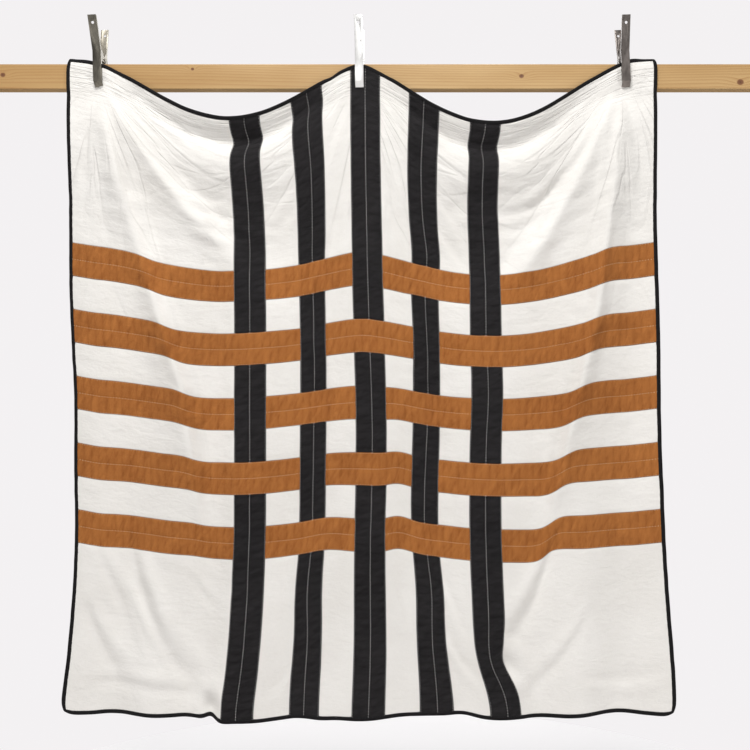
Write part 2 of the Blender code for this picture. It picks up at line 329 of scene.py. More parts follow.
# ---------------------------------------------------------------- quilt, as it hangs
# The quilt is 2.34 m square when flat. u runs across it from its middle and v down from its top edge. It is
# laid in the folds that the three jaws give it, a cloth simulation settles it, and every layer follows it.

SIDE = 2.34
HALF = SIDE / 2
STRIPE = 0.12  # each strip, and each gap between two strips, laid flat
TOP_MARGIN = 0.66  # above the highest tan strip
TAN_FOOT = TOP_MARGIN + 9 * STRIPE
THREADS = 145  # points each way on the simulated sheet
RAIL_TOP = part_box("rail")[1].z
RAIL_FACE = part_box("rail")[0].y
RAIL_LONG = 3.05
MIDDLE_Y = RAIL_FACE - 0.0030  # the middle of the quilt's thickness where it lies on the board
JAW_X = (-0.951, -0.020, 0.932)
JAW_U = tuple(x / 0.895 for x in JAW_X)
JAW_DOWN = 0.088  # from the top edge to the jaws' lips
EDGE_RISE = (0.005, -0.003, 0.005)  # of the top edge over the board's top, at each jaw
CORNER_RISE = 0.018
SAG = (0.200, 0.216)
LIP_TALL = (0.100, 0.112)  # the part that leans out along each scallop
SHOWN = (0.114, 0.118, 0.093, 0.098, 0.111, 0.098, 0.100, 0.114, 0.114)  # hung width of each strip and gap


def smooth(x, low=0.0, high=1.0):
    x = np.clip((x - low) / (high - low), 0, 1)
    return x * x * (3 - 2 * x)


def hump(x, middle, reach):
    return np.exp(-(((x - middle) / reach) ** 2))


def edge_line(u):
    """The top edge's height without sag, its sag, how far along its scallop it is, and which scallop."""
    left, mid, right = JAW_U
    rises = (EDGE_RISE[0] + CORNER_RISE, *EDGE_RISE, EDGE_RISE[2] + CORNER_RISE)
    level = np.interp(u, (-HALF, left, mid, right, HALF), rises)
    scallop = np.where(u < mid, 0, 1)
    start = np.where(u < mid, left, mid)
    end = np.where(u < mid, mid, right)
    share = np.clip((u - start) / (end - start), 0, 1)
    sag = np.array(SAG)[scallop] * np.sin(math.pi * share) ** 1.4
    return level, sag, share, scallop


# Creases, each a bent line on the flat quilt: where it starts (u, v), its heading in degrees from straight
# down, its length, how far it turns, its depth and its half width.
CREASES = (
    (-1.05, 0.09, -13, 0.52, 14, 0.005, 0.016),
    (-1.06, 0.12, 3, 0.90, 4, 0.004, 0.025),
    (1.04, 0.09, 10, 0.40, 10, 0.004, 0.018),
    (1.04, 0.12, -5, 1.30, -4, 0.006, 0.030),
    (0.97, 0.16, -44, 0.46, -22, 0.007, 0.014),
    (0.93, 0.22, -46, 0.40, -26, 0.006, 0.013),
    (-0.05, 0.03, -52, 0.20, 20, 0.006, 0.010),
    (-0.06, 0.28, -14, 0.42, 4, 0.006, 0.012),
    (-0.06, 0.12, -34, 0.30, 8, 0.004, 0.012),
    (0.05, 0.05, 40, 0.30, -10, 0.007, 0.010),
    (0.07, 0.26, 33, 0.26, -6, 0.006, 0.011),
    (0.07, 0.43, 24, 0.30, 4, 0.007, 0.011),
    (-0.27, 0.25, -70, 0.14, 10, 0.005, 0.010),
    (-0.28, 0.33, -58, 0.16, 10, 0.006, 0.011),
    (-0.28, 0.42, -50, 0.15, 6, 0.004, 0.011),
    (0.27, 0.22, 72, 0.16, 10, 0.005, 0.010),
    (0.28, 0.35, 42, 0.22, -8, 0.007, 0.010),
    (0.27, 0.46, 36, 0.22, 2, 0.006, 0.011),
    (0.18, 0.10, 48, 0.20, -14, 0.006, 0.012),
    (0.18, 0.24, 36, 0.18, -10, 0.005, 0.011),
    (-0.90, 0.33, 62, 0.40, 26, 0.004, 0.012),
    (-0.86, 0.40, 60, 0.38, 26, 0.004, 0.012),
    (-0.80, 0.47, 58, 0.32, 24, 0.004, 0.012),
    (0.84, 0.33, -66, 0.34, -24, 0.004, 0.012),
    (0.80, 0.40, -64, 0.32, -22, 0.004, 0.012),
    (-1.12, 1.93, 15, 0.36, 34, 0.011, 0.022),
    (-1.10, 2.22, 88, 0.52, -8, 0.010, 0.016),
    (-0.96, 1.70, 14, 0.72, 38, 0.015, 0.028),
    (-1.09, 1.73, 26, 0.46, 2, 0.008, 0.020),
    (-0.98, 1.85, 24, 0.42, 18, 0.006, 0.016),
    (-0.72, 1.80, 38, 0.18, 8, 0.005, 0.012),
    (0.77, 1.66, -24, 0.54, -10, 0.014, 0.024),
    (0.87, 1.94, -26, 0.44, -34, 0.010, 0.016),
    (0.80, 2.18, 62, 0.38, 70, 0.008, 0.014),
    (0.31, 2.02, 18, 0.27, 34, 0.008, 0.012),
    (0.27, 1.72, 20, 0.36, 6, 0.007, 0.012),
    (0.10, 1.80, 14, 0.30, 6, 0.005, 0.012),
    (-0.30, 2.14, -24, 0.16, -30, 0.006, 0.012),
    (-0.24, 0.70, 6, 0.90, -8, 0.006, 0.022),
    (0.20, 0.80, 10, 0.80, 4, 0.007, 0.020),
)


def crease(u, v, start_u, start_v, heading, length, turn, depth, wide):
    """Height that one crease takes from the sheet: a valley, with a low rounded ridge along one side."""
    pieces = 14
    nearest = np.full(u.shape, 9.0)
    side = np.zeros(u.shape)
    share = np.zeros(u.shape)
    angle = math.radians(heading)
    a = np.array([start_u, start_v])
    for i in range(pieces):
        run = np.array([math.sin(angle), math.cos(angle)]) * length / pieces
        t = np.clip(((u - a[0]) * run[0] + (v - a[1]) * run[1]) / (run @ run), 0, 1)
        du, dv = u - a[0] - t * run[0], v - a[1] - t * run[1]
        off = np.hypot(du, dv)
        closer = off < nearest
        nearest[closer] = off[closer]
        side[closer] = np.sign(du * run[1] - dv * run[0])[closer]
        share[closer] = ((i + t) / pieces)[closer]
        a = a + run
        angle += math.radians(turn) / pieces
    fade = np.sin(math.pi * np.clip(share, 0.04, 0.96) ** 0.75)
    spread = wide * (0.55 + 0.9 * share)
    inward = -side * np.sign(start_u if start_u else 1.0)
    ridge = 0.75 * hump(nearest * inward, 2.1 * spread, 1.5 * spread)
    return depth * fade * (ridge - np.exp(-np.abs(nearest / spread) ** 1.6))


# The two great folds under each side jaw: a line on the flat quilt, how far the cloth stands out along it,
# and how far it eases away on the outer and on the inner side of it.
LEFT_LONG = ((-1.04, 0.07), (-0.96, 0.42), (-0.85, 0.78), (-0.74, 1.11), (-0.70, 1.40), (-0.66, 1.75))
LEFT_SLANT = ((-1.03, 0.08), (-0.90, 0.23), (-0.71, 0.43), (-0.54, 0.62))
RIGHT_LONG = ((1.03, 0.08), (0.99, 0.49), (0.93, 0.83), (0.81, 1.29), (0.75, 1.55), (0.70, 1.80))
RIGHT_SLANT = ((1.02, 0.08), (0.89, 0.30), (0.74, 0.52), (0.60, 0.70))
RIDGES = (
    (LEFT_LONG, 0.034, 0.07, 0.026),
    (LEFT_SLANT, 0.022, 0.08, 0.040),
    (RIGHT_LONG, 0.036, 0.07, 0.026),
    (RIGHT_SLANT, 0.022, 0.08, 0.040),
)


def by_line(u, v, points):
    """Distance from a line, above 0 toward the quilt's middle, and how far along the line it is."""
    nearest = np.full(u.shape, 9.0)
    side = np.zeros(u.shape)
    share = np.zeros(u.shape)
    runs = [np.subtract(b, a) for a, b in zip(points, points[1:])]
    total = sum(np.hypot(*run) for run in runs)
    passed = 0.0
    for a, run in zip(points, runs):
        length = np.hypot(*run)
        t = np.clip(((u - a[0]) * run[0] + (v - a[1]) * run[1]) / length**2, 0, 1)
        du, dv = u - a[0] - t * run[0], v - a[1] - t * run[1]
        off = np.hypot(du, dv)
        closer = off < nearest
        nearest[closer] = off[closer]
        side[closer] = np.sign(du * run[1] - dv * run[0])[closer]
        share[closer] = ((passed + t * length) / total)[closer]
        passed += length
    return -nearest * side * np.sign(points[0][0]), share


def ridge(u, v, points, tall, outer, inner):
    inward, share = by_line(u, v, points)
    fade = smooth(share, 0.0, 0.22) * (1 - smooth(share, 0.70, 1.0) * 0.95)
    fall = np.where(inward > 0, (np.abs(inward) / inner) ** 1.4, (np.abs(inward) / outer) ** 1.3)
    return tall * fade * np.exp(-fall)


def hung_across(u, v):
    """X of a flat point. Strips on the sides of folds look narrower than they are."""
    edges = np.concatenate([[-4.5 * STRIPE], -4.5 * STRIPE + STRIPE * np.arange(1, 10)])
    places = -0.4715 + np.concatenate([[0], np.cumsum(SHOWN)])
    middle = np.interp(u, [-HALF, *edges, HALF], [-1.046, *places, 1.052])
    even = u * 0.895
    x = even + (middle - even) * smooth(v, 0.15, 0.9) * (1 - 0.5 * smooth(v, 1.8, 2.34))
    flare = smooth(v, 1.55, 2.34)
    x = x + u * 0.047 * flare
    x = x - 0.012 * smooth(-u, 0.9, 1.17) * smooth(v, 2.15, 2.34) + 0.006 * smooth(u, 0.9, 1.17)
    pulls = (
        (0.48, 2.34, 0.16, 0.20, 0.058),
        (0.24, 2.34, 0.12, 0.34, 0.030),
        (0.54, 2.13, 0.05, 0.06, -0.014),
        (-0.48, 2.34, 0.12, 0.16, -0.018),
        (-0.24, 2.34, 0.12, 0.30, -0.012),
        (-0.48, 0.105, 0.10, 0.035, 0.014),
        (-0.48, 0.200, 0.10, 0.050, -0.002),
        (-0.24, 0.070, 0.07, 0.030, 0.008),
        (-0.24, 0.34, 0.11, 0.26, 0.016),
        (0.48, 0.105, 0.10, 0.035, -0.012),
        (0.48, 0.320, 0.12, 0.20, -0.010),
        (0.24, 0.30, 0.10, 0.24, -0.014),
        (0.24, 0.62, 0.08, 0.08, 0.012),
        (0.24, 0.98, 0.09, 0.20, 0.012),
        (0.24, 1.25, 0.08, 0.18, 0.010),
        (0.24, 1.88, 0.09, 0.16, 0.018),
        (0.48, 1.12, 0.09, 0.16, 0.010),
        (0.52, 2.10, 0.09, 0.11, -0.016),
        (-0.24, 1.10, 0.08, 0.25, 0.006),
        (-0.24, 1.88, 0.09, 0.14, -0.014),
        (0.0, 1.35, 0.12, 0.42, 0.018),
        (0.0, 2.10, 0.14, 0.30, 0.012),
    )
    for at_u, at_v, reach_u, reach_v, pull in pulls:
        x = x + pull * hump(u, at_u, reach_u) * hump(v, at_v, reach_v)
    left, right = smooth(-u, 0.55, HALF), smooth(u, 0.55, HALF)
    x = x - left * 0.020 * (1 - smooth(v, 0.75, 1.30)) + left * 0.022 * smooth(v, 1.45, 2.05)
    return x - right * (0.010 * (1 - smooth(v, 0.55, 1.10)) - 0.011 * hump(v, 1.65, 0.25))


def laid(u, v):
    """The sheet before it settles: X, Y and Z of flat points."""
    level, sag, share, scallop = edge_line(u)
    fade = 1 / (1 + (v / 0.55) ** 1.3)
    z = RAIL_TOP + level - v - sag * fade
    z = z - 0.010 * hump(u, 0.02, 0.20) * smooth(v, 0.35, 0.75)
    z = z + 0.008 * hump(u, -0.5, 0.2) * hump(v, 0.7, 0.3)
    z = z + 0.020 * hump(u, 0.12, 0.07) * smooth(v, 0.9, 1.7)
    z = z + 0.010 * hump(u, -0.16, 0.10) * smooth(v, 1.2, 1.7)
    for points in (LEFT_LONG, RIGHT_LONG):
        inward, _ = by_line(u, v, points)
        drop = 0.016 * hump(v, 1.15, 0.6) if points[0][0] < 0 else 0.008 + 0.024 * smooth(v, 0.7, 1.7)
        pinch = drop * np.tanh(inward / 0.042) * np.exp(-np.abs(inward) / 0.15)
        z = z - pinch * (1 - smooth(v, 1.75, 2.2))
    low = smooth(v, 1.90, 2.34)
    hem = 0.028 * hump(u, -0.05, 0.85) - 0.014 * hump(u, -0.02, 0.33) - 0.018 * hump(u, 0.13, 0.07)
    z = z + low * hem
    z = z - low * (0.014 * hump(u, -0.18, 0.07) + 0.018 * smooth(np.abs(u), 0.90, 1.17))

    swag = np.sin(math.pi * share) ** 0.8
    lip = np.maximum(np.array(LIP_TALL)[scallop] * swag, 0.004)
    down = v / lip
    strength = np.sin(math.pi * share) ** 1.3
    lean_out = 0.026 * (1 - smooth(down, 0.0, 1.0)) * strength
    tuck = -0.014 * np.exp(-np.abs((down - 1.05) / 0.36) ** 1.5) * strength
    belly = 0.0085 * hump(v, 1.9 * lip + 0.014, 0.085) * strength - 0.026 * smooth(v, 0.20, 0.62)
    for points in (LEFT_SLANT, RIGHT_SLANT):
        inward, _ = by_line(u, v, points)
        hollow = smooth(inward, 0.0, 0.09) * smooth(v, 0.20, 0.42) * (1 - smooth(v, 0.56, 0.84))
        belly = belly - 0.026 * hollow * smooth(u * np.sign(points[0][0]), 0.22, 0.45)
    flutter = np.sin(2 * math.pi * (v + 0.12 * np.abs(u)) / 0.068 + 2.2 * np.sin(7 * u))
    flutter = flutter * hump(v, 0.44, 0.13)
    belly = belly + 0.0034 * flutter * strength * smooth(np.abs(u), 0.30, 0.45)
    height = lean_out + tuck + belly

    away = np.minimum.reduce([np.hypot(u - jaw, (v - JAW_DOWN) * 0.9) for jaw in JAW_U])
    freed = smooth(away, 0.02, 0.20)
    inside = smooth(0.66 - np.abs(u), 0.0, 0.14)
    body = smooth(v, 0.12, 0.7)
    pleats = 0.011 * np.cos(2 * math.pi * u / 0.48) * inside
    pleats = pleats + 0.007 * np.cos(2 * math.pi * (u + 0.05 * v) / 0.33 + 0.8) * (1 - inside)
    height = height + pleats * body * freed * (1 + 0.25 * v)
    height = height + 0.010 * smooth(v, 1.7, 2.34) * np.cos(2 * math.pi * u / 0.41 + 0.9)
    for one in RIDGES:
        height = height + ridge(u, v, *one) * smooth(away, 0.010, 0.07)
    for one in CREASES:
        height = height + crease(u, v, *one) * smooth(away, 0.012, 0.09)
    for tuck_u, tuck_v, tall in ((-0.59, 2.30, 0.026), (0.545, 2.14, 0.022)):
        apart = np.hypot((u - tuck_u) * 1.3, v - tuck_v)
        height = height - tall * np.exp(-(apart / 0.030)) + 0.6 * tall * hump(apart, 0.075, 0.035)
    z = z + 0.016 * hump(u, -0.59, 0.022) * hump(v, SIDE, 0.05)
    z = z + 0.014 * hump(u, 0.335, 0.05) * hump(v, SIDE, 0.06)
    z = z - 0.020 * hump(u, -0.25, 0.35) * smooth(v, 1.9, SIDE)
    corner = np.exp(-((np.hypot(HALF - np.abs(u), np.minimum(v, SIDE - v)) / 0.018) ** 2)) * 0.009
    z = z + corner * np.where(v < HALF, -1, 1)
    on_board = smooth(z, -0.03, 0.01)
    height = np.maximum(height, -0.0005) * on_board + height * (1 - on_board)
    return np.stack([hung_across(u, v) - np.sign(u) * corner, MIDDLE_Y - 0.006 * body - height, z], -1)


def settled(sheet):
    """The sheet after a cloth simulation: held at the jaws, and elsewhere only drawn back softly."""
    rows, columns = sheet.shape[:2]
    index = np.arange(rows * columns).reshape(rows, columns)
    faces = np.stack([index[:-1, :-1], index[1:, :-1], index[1:, 1:], index[:-1, 1:]], -1)
    mesh = bpy.data.meshes.new("hanging")
    mesh.from_pydata(sheet.reshape(-1, 3).tolist(), [], faces.reshape(-1, 4).tolist())
    cloth = placed("hanging", mesh)
    near_jaw = np.minimum.reduce([np.abs(U - jaw) for jaw in JAW_U])
    gripped = (near_jaw < 0.02) & (V < 0.105)
    hold = cloth.vertex_groups.new(name="hold")
    hold.add(index[gripped].tolist(), 1.0, "REPLACE")
    hold.add(index[~gripped].tolist(), 0.34, "REPLACE")
    bpy.ops.mesh.primitive_cube_add(size=1, location=(0, 0, RAIL_TOP / 2))
    block = bpy.context.object
    block.scale = (RAIL_LONG, -2 * RAIL_FACE, RAIL_TOP)
    block.modifiers.new("solid", "COLLISION")
    block.collision.thickness_outer = 0.0025
    cloth_step = cloth.modifiers.new("settle", "CLOTH")
    cotton = cloth_step.settings
    cotton.quality = 6
    cotton.mass = 0.0006
    cotton.tension_stiffness = cotton.compression_stiffness = 40
    cotton.shear_stiffness = 12
    cotton.bending_stiffness = 0.06
    cotton.air_damping = 2
    cotton.shrink_min = -SETTLE_GROWTH
    cotton.vertex_group_mass = "hold"
    cotton.pin_stiffness = 1.0
    cloth_step.collision_settings.distance_min = 0.002
    cloth_step.point_cache.frame_end = SETTLE_FRAMES
    for step in range(1, SETTLE_FRAMES + 1):
        scene.frame_set(step)
    moved = cloth.evaluated_get(bpy.context.evaluated_depsgraph_get())
    places = np.empty(rows * columns * 3, np.float32)
    moved.data.vertices.foreach_get("co", places)
    bpy.data.objects.remove(cloth)
    bpy.data.objects.remove(block)
    scene.frame_set(1)
    return places.reshape(rows, columns, 3).astype(float)


SETTLE_FRAMES = 24
SETTLE_GROWTH = 0.02
DEEPEST_FRONT, DEEPEST_BACK = -0.076, 0.060
U, V = np.meshgrid(np.linspace(-HALF, HALF, THREADS), np.linspace(0, SIDE, THREADS))
sheet = laid(U, V)
sheet = settled(sheet)
sheet[..., 1] = np.clip(sheet[..., 1], DEEPEST_FRONT, DEEPEST_BACK)


def eased(grid, times):
    """The grid with each point drawn toward its neighbours, but with its four edges left where they are."""
    for _ in range(times):
        inner = grid.copy()
        inner[1:-1] = (grid[:-2] + 2 * grid[1:-1] + grid[2:]) / 4
        grid = inner.copy()
        grid[:, 1:-1] = (inner[:, :-2] + 2 * inner[:, 1:-1] + inner[:, 2:]) / 4
    return grid


sheet = eased(sheet, 1)


def weights(at, low, high, count):
    """How much each of count evenly spaced points adds to a smooth curve at each place."""
    step = (high - low) / (count - 1)
    place = np.clip((np.asarray(at, float) - low) / step, 0, count - 1 - 1e-9)
    first = place.astype(int)
    t = place - first
    inner = (3 * t**3 - 6 * t * t + 4) / 6
    parts = [(1 - t) ** 3 / 6, inner, (-3 * t**3 + 3 * t * t + 3 * t + 1) / 6, t**3 / 6]
    table = np.zeros((len(place), count + 2))
    for i, part in enumerate(parts):
        table[np.arange(len(place)), first + i] += part
    return table


def extended(grid):
    """The grid with one more row or column past each side, so that smooth curves reach its edges."""
    grid = np.concatenate([2 * grid[:1] - grid[1:2], grid, 2 * grid[-1:] - grid[-2:-1]], 0)
    return np.concatenate([2 * grid[:, :1] - grid[:, 1:2], grid, 2 * grid[:, -1:] - grid[:, -2:-1]], 1)


CONTROL = extended(sheet)
wide_view = eased(sheet, 4)
FACINGS = np.cross(np.gradient(wide_view, axis=0), np.gradient(wide_view, axis=1))
FACINGS = extended(eased(FACINGS / np.linalg.norm(FACINGS, axis=-1, keepdims=True), 4))


def pressed(u, v):
    """Height of the sharp lines that the settled sheet is too coarse to hold, on the folds and the lip."""
    height = 0.0
    away = np.minimum.reduce([np.hypot(u - jaw, (v - JAW_DOWN) * 0.9) for jaw in JAW_U])
    for points, *_ in RIDGES:
        inward, share = by_line(u, v, points)
        fade = smooth(share, 0.0, 0.10) * (1 - smooth(share, 0.75, 1.0))
        fall = np.where(inward > 0, (np.abs(inward) / 0.019) ** 1.3, (np.abs(inward) / 0.040) ** 1.3)
        height = height + 0.0070 * fade * np.exp(-fall)
        height = height + 0.0030 * fade * np.exp(-(((inward - 0.050 - 0.02 * share) / 0.014) ** 2))
    for start_u, start_v, heading, length, turn, depth, wide in CREASES:
        height = height + crease(u, v, start_u, start_v, heading, length, turn, 0.22 * depth, 0.9 * wide)
    _, _, share, scallop = edge_line(u)
    lip = np.maximum(np.array(LIP_TALL)[scallop] * np.sin(math.pi * share) ** 0.8, 0.004)
    strength = np.sin(math.pi * share) ** 1.3
    height = height - 0.0022 * np.exp(-(((v - 1.03 * lip) / 0.021) ** 2)) * strength
    creased = np.sin(2 * math.pi * v / lip * 2.6 + 3.0 * np.sin(9 * u)) * (v < lip) * smooth(lip, 0.03, 0.09)
    height = height + 0.0009 * creased * strength
    return height * smooth(away, 0.010, 0.06) * smooth(v, 0.004, 0.03)


def on_quilt(us, vs):
    """Places on the hanging sheet for every u and v of these lists, and the directions that face the room."""
    across, down = weights(us, -HALF, HALF, THREADS), weights(vs, 0, SIDE, THREADS)
    place, facing = [
        np.einsum("ia,jb,abk->ijk", down, across, grid, optimize=True) for grid in (CONTROL, FACINGS)
    ]
    facing /= np.linalg.norm(facing, axis=-1, keepdims=True)
    return place + facing * pressed(*np.meshgrid(us, vs))[..., None], facing


def quilt_piece(name, us, vs, front, back, finish, slot):
    """A closed sheet over a lattice of flat places. front and back are its faces' heights over the middle."""
    place, facing = on_quilt(us, vs)
    rows, columns = place.shape[:2]
    front, back = [np.broadcast_to(side, (rows, columns))[..., None] for side in (front, back)]
    squeezed = 1 - 0.27 * np.maximum.reduce(
        [hump(np.hypot(*np.meshgrid(us - jaw, vs - JAW_DOWN)), 0, 0.035) for jaw in JAW_U]
    )[..., None]
    points = np.concatenate([(place + facing * side * squeezed).reshape(-1, 3) for side in (front, back)])
    near = np.arange(rows * columns).reshape(rows, columns)
    far = near + rows * columns
    faces = [np.stack([near[:-1, :-1], near[1:, :-1], near[1:, 1:], near[:-1, 1:]], -1).reshape(-1, 4)]
    faces.append(np.stack([far[:-1, :-1], far[:-1, 1:], far[1:, 1:], far[1:, :-1]], -1).reshape(-1, 4))
    ring_near, ring_far = [
        np.concatenate([side[0, :-1], side[:-1, -1], side[-1, :0:-1], side[:0:-1, 0]])
        for side in (near, far)
    ]
    faces.append(np.stack([ring_near, np.roll(ring_near, -1), np.roll(ring_far, -1), ring_far], -1))
    mesh = bpy.data.meshes.new(name)
    mesh.from_pydata(points.tolist(), [], np.concatenate(faces).tolist())
    flat = np.stack([*np.meshgrid(us, vs), np.zeros((rows, columns))], -1).reshape(-1, 3)
    cut = mesh.attributes.new("cut", "FLOAT_VECTOR", "POINT")
    cut.data.foreach_set("vector", np.concatenate([flat, flat]).astype(np.float32).ravel())
    mesh.shade_smooth()
    mesh.materials.append(finish)
    piece = placed(name, mesh)
    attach(piece, "rack")
    return piece


WEAVE = 0.0011  # two threads of the cotton
ROW = 0.029  # between two rows of quilting


def cotton(name, dull, bright, sheen, roughness, seams, along=None, fanned=False, pucker=1.0):
    """Woven cotton that has been washed: slubs, a fine weave, puckers beside each seam, and shaded seams.

    seams says which strip edges it shades with a painted shadow line. A strip puckers across the line of
    stitches that runs along it, and the ridges of those puckers are painted lighter, a painted highlight.
    fanned adds the fine lines that spread from the jaws and follow the sagging edge: dents in the bump, and
    painted shade in the colour."""
    made = Finish(name, roughness, Sheen_Weight=sheen, Sheen_Roughness=0.45, Specular_IOR_Level=0.15)
    flat = made.add("ShaderNodeAttribute", {"attribute_name": "cut"}, 1)
    u, v, _ = made.axes(flat)
    slub = made.noise(made.vector(u * 60.0, v * 900.0), 1.0, 3.0, 0.6)
    slub_down = made.noise(made.vector(u * 900.0, v * 60.0), 1.0, 3.0, 0.6)
    broad = made.noise(made.vector(u * 3.0, v * 3.0), 1.0, 4.0, 0.55)
    thread = (u * (2 * math.pi / WEAVE)).sine() * (v * (2 * math.pi / WEAVE)).sine()
    seam_u = abs((u % STRIPE) - STRIPE / 2) + (abs(u) > 0.56) * 1.0
    seam_v = abs(((v - (TOP_MARGIN - STRIPE / 2)) % STRIPE) - STRIPE / 2)
    seam_v = seam_v + (v < TOP_MARGIN - 0.02) * 1.0 + (v > TAN_FOOT + 0.02) * 1.0
    seam = {"both": seam_u.math("MINIMUM", seam_u, seam_v), "down": seam_u, "across": seam_v}[seams]
    crumple = made.noise(made.vector(u * 34.0, v * 60.0), 1.0, 3.0, 0.55, 0.4)
    rumple = made.noise(made.vector(u * 10.0, v * 24.0), 1.0, 3.0, 0.6, 0.5)
    by_seam = made.noise(made.vector(u * 70.0, v * 70.0), 1.0, 2.0, 0.5, 0.3)
    by_seam = by_seam * (1.0 - seam / 0.022).clamped()
    height = crumple * (0.0022 * pucker) + rumple * (0.0034 * pucker) + by_seam * (0.0016 * pucker)
    light = (slub + slub_down) * 0.30 + broad * 0.55 + thread * 0.05
    if along:
        run, over = (v, u) if along == "v" else (u, v)
        gathers = made.noise(made.vector(run * 36.0 + over * 16.0, over * 11.0), 1.0, 3.0, 0.6, 0.9)
        fine = made.noise(made.vector(run * 120.0, over * 30.0), 1.0, 2.0, 0.5, 0.3)
        rows = abs((run * (math.pi / ROW) + (gathers - 0.5) * 2.0).sine()) ** 0.6
        fold = gathers * 0.66 + fine * 0.22 + rows * 0.12
        height = height + fold * (0.0052 * pucker)
        # Pucker ridges are painted lighter here, a painted highlight that stands in for how they catch the
        # light.
        light = light * 0.62 + fold.ramp(0.30, 0.78) * 0.42 - 0.02
    colour = made.mix(light.ramp(0.28, 0.86), dull, bright)
    if fanned:
        lines = None
        for jaw in JAW_U:
            right, below = u - jaw, v - JAW_DOWN + 0.05
            reach = (right ** 2.0 + below ** 2.0) ** 0.5
            angle = u.math("ARCTAN2", right, below)
            rays = made.noise(made.vector(angle * 3.4, reach * 1.5), 1.0, 2.0, 0.5, 0.7)
            line = (1.0 - abs(rays - 0.5) * 26.0).clamped()
            line = line * reach.ramp(0.06, 0.24) * (1.0 - reach.ramp(0.30, 1.10))
            lines = line if lines is None else lines.math("MAXIMUM", lines, line)
        hem = made.noise(made.vector(u * 2.6, v * 46.0), 1.0, 3.0, 0.55, 0.4)
        along_lip = (1.0 - abs(hem - 0.5) * 16.0).clamped() * (1.0 - v.ramp(0.06, 0.17))
        lines = lines + along_lip * 0.8
        height = height - lines * 0.0026
        # The fanned crease lines are painted darker as well, a painted shade in the creases.
        colour = made.mix(lines * 0.16, colour, tuple(0.80 * c for c in dull))
    shadow = (1.0 - seam / 0.0028).clamped()
    colour = made.mix(shadow * 0.55, colour, tuple(0.35 * c for c in dull))
    fine_relief = thread * 0.00006 + (slub + slub_down) * 0.00012
    made.paint(colour, broad * 0.12 + (roughness - 0.06), [(height, 0.75), (fine_relief, 0.5)])
    return made.material


# ---------------------------------------------------------------- white cloth, front and rear
# The ground is one off-white cotton at the front and another at the rear, with wadding between. Rows of hand
# quilting 29 mm apart hold the three together, so that the cloth rises a little between two rows.

TOP_FACE = 0.0020  # of the ground's front, over the middle of the quilt, along a row of quilting
PUFF = 0.0016
CLOTH = 0.0005
BINDING_WIDE = 0.012

white_cotton = cotton(
    "white_cotton", (0.695, 0.664, 0.616), (0.885, 0.860, 0.820), 0.10, 0.9, "both", fanned=True
)
ground_v = np.append(np.arange(0.004, SIDE - 0.004, ROW / 2), SIDE - 0.004)
ground_u = np.linspace(-HALF + 0.004, HALF - 0.004, 297)
flat_u, flat_v = np.meshgrid(ground_u, ground_v)


def lattice_cover(u, v, ease=0.006):
    """1 under a strip and 0 on the open ground."""
    black = smooth(STRIPE / 2 - np.abs(((u + STRIPE) % (2 * STRIPE)) - STRIPE), -ease, ease)
    black = black * (np.abs(u) < 0.56)
    tan_at = (v - TOP_MARGIN + STRIPE / 2) % (2 * STRIPE) - STRIPE
    tan = smooth(STRIPE / 2 - np.abs(tan_at), -ease, ease)
    tan = tan * (v > TOP_MARGIN - 0.02) * (v < TAN_FOOT + 0.02)
    return np.maximum(black, tan)


def puffed(u, v):
    open_ground = 1 - lattice_cover(u, v)
    rise = np.abs(np.sin(math.pi * v / ROW)) ** 0.7
    return TOP_FACE + PUFF * rise * (0.35 + 0.65 * open_ground)


front_height = puffed(flat_u, flat_v) - 0.0026 * lattice_cover(flat_u, flat_v, 0.010)
quilt_top = quilt_piece(
    "ground_cloth", ground_u, ground_v, front_height, front_height - CLOTH, white_cotton, "white_cotton"
)
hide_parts("quilt_top")

rear_u = np.linspace(-HALF + 0.004, HALF - 0.004, 221)
rear_v = np.append(np.arange(0.004, SIDE - 0.004, ROW / 2), SIDE - 0.004)
rear_rise = 0.0008 * np.abs(np.sin(math.pi * np.meshgrid(rear_u, rear_v)[1] / ROW))
backing = quilt_piece(
    "backing_cloth", rear_u, rear_v, -0.0020 - rear_rise, -0.0025 - rear_rise, white_cotton, "white_cotton"
)
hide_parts("quilt_backing")


# ---------------------------------------------------------------- wadding
# A thin cotton wadding between the two cloths. It shows nowhere, and stops short of the edges.

wadding_finish = Finish("cotton_wadding", 0.95, Sheen_Weight=0.3)
tuft = wadding_finish.noise(wadding_finish.place(), 160.0, 4.0, 0.65)
fluff = wadding_finish.mix(tuft, (0.66, 0.62, 0.53), (0.82, 0.79, 0.70))
wadding_finish.paint(fluff, bumps=[(tuft * 0.001, 0.6)])
batting_u = np.linspace(-HALF + 0.008, HALF - 0.008, 161)
batting_v = np.linspace(0.008, SIDE - 0.008, 161)
wadding = quilt_piece("wadding", batting_u, batting_v, -0.0010, -0.0016, wadding_finish.material, "batting")
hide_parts("quilt_batting")


# ---------------------------------------------------------------- strips
# Five charcoal strips run down and five caramel strips run across. Their edges are turned under and sewn to
# the ground. Where two cross, black lies over where its number and the caramel's add up to an even number.

STRIP_FACE = 0.0029
EDGE_FACE = 0.0016  # of a strip's turned edge
STRIP_THICK = 0.0007
STEP_OVER = 0.0011
black_cotton = cotton(
    "charcoal_cotton", (0.0045, 0.0040, 0.0042), (0.0265, 0.0240, 0.0250), 0.04, 0.85, "down", "v", pucker=0.8
)
tan_cotton = cotton(
    "caramel_cotton", (0.222, 0.068, 0.014), (0.490, 0.186, 0.048), 0.03, 0.85, "across", "u", pucker=0.8
)
middle_of = [-4 * STRIPE + 2 * STRIPE * n for n in range(5)]
tan_middle_of = [TOP_MARGIN + STRIPE / 2 + 2 * STRIPE * n for n in range(5)]


